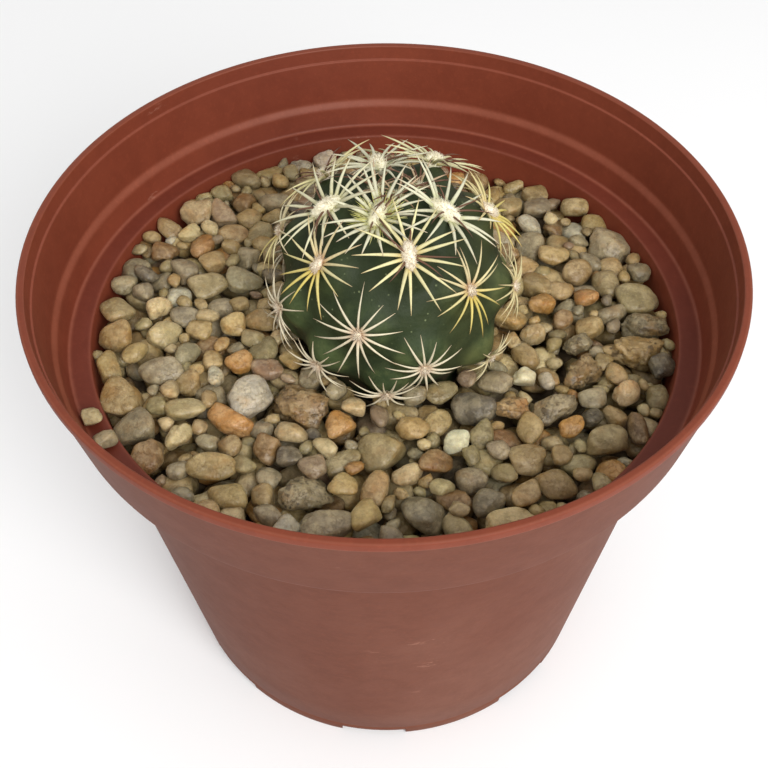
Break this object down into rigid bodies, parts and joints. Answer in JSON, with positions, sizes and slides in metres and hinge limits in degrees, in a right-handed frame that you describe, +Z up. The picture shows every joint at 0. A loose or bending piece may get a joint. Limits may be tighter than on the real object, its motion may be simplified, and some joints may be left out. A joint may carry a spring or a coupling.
{
  "type": "potted round cactus",
  "caption": "Small round cactus with cream spines, rooted in pebble-topped soil in a tapering plastic nursery pot with a tall collar.",
  "frame": {"origin": "centre of the face that the pot stands on", "axes": "+Z up along the pot's axis; -Y towards the viewer of the picture"},
  "size_m": [0.11, 0.11, 0.1064],
  "materials": {
    "pot_plastic": "satin terracotta coloured plastic with light scuffs",
    "soil": "dark crumbly potting mix",
    "gravel": "opaque worn quartz pebbles in grey, tan, cream and orange",
    "cactus_skin": "satin bluish green skin",
    "spines": "cream to straw, dull",
    "wool": "white to cream felt"
  },
  "bodies": {
    "root": {"pot": "pot_plastic", "potting_soil": "soil", "gravel_layer": "gravel", "cactus_body": "cactus_skin", "spines_01": "spines", "spines_02": "spines", "spines_03": "spines", "spines_04": "spines", "spines_05": "spines", "spines_06": "spines", "spines_07": "spines", "spines_08": "spines", "spines_09": "spines", "spines_10": "spines", "spines_11": "spines", "spines_12": "spines", "spines_13": "spines", "spines_14": "spines", "spines_15": "spines", "spines_16": "spines", "spines_17": "spines", "spines_18": "spines", "spines_19": "spines", "spines_20": "spines", "spines_21": "spines", "spines_22": "spines", "spines_23": "spines", "spines_24": "spines", "spines_25": "spines", "spines_26": "spines", "spines_27": "spines", "spines_28": "spines"}
  },
  "joints": []
}
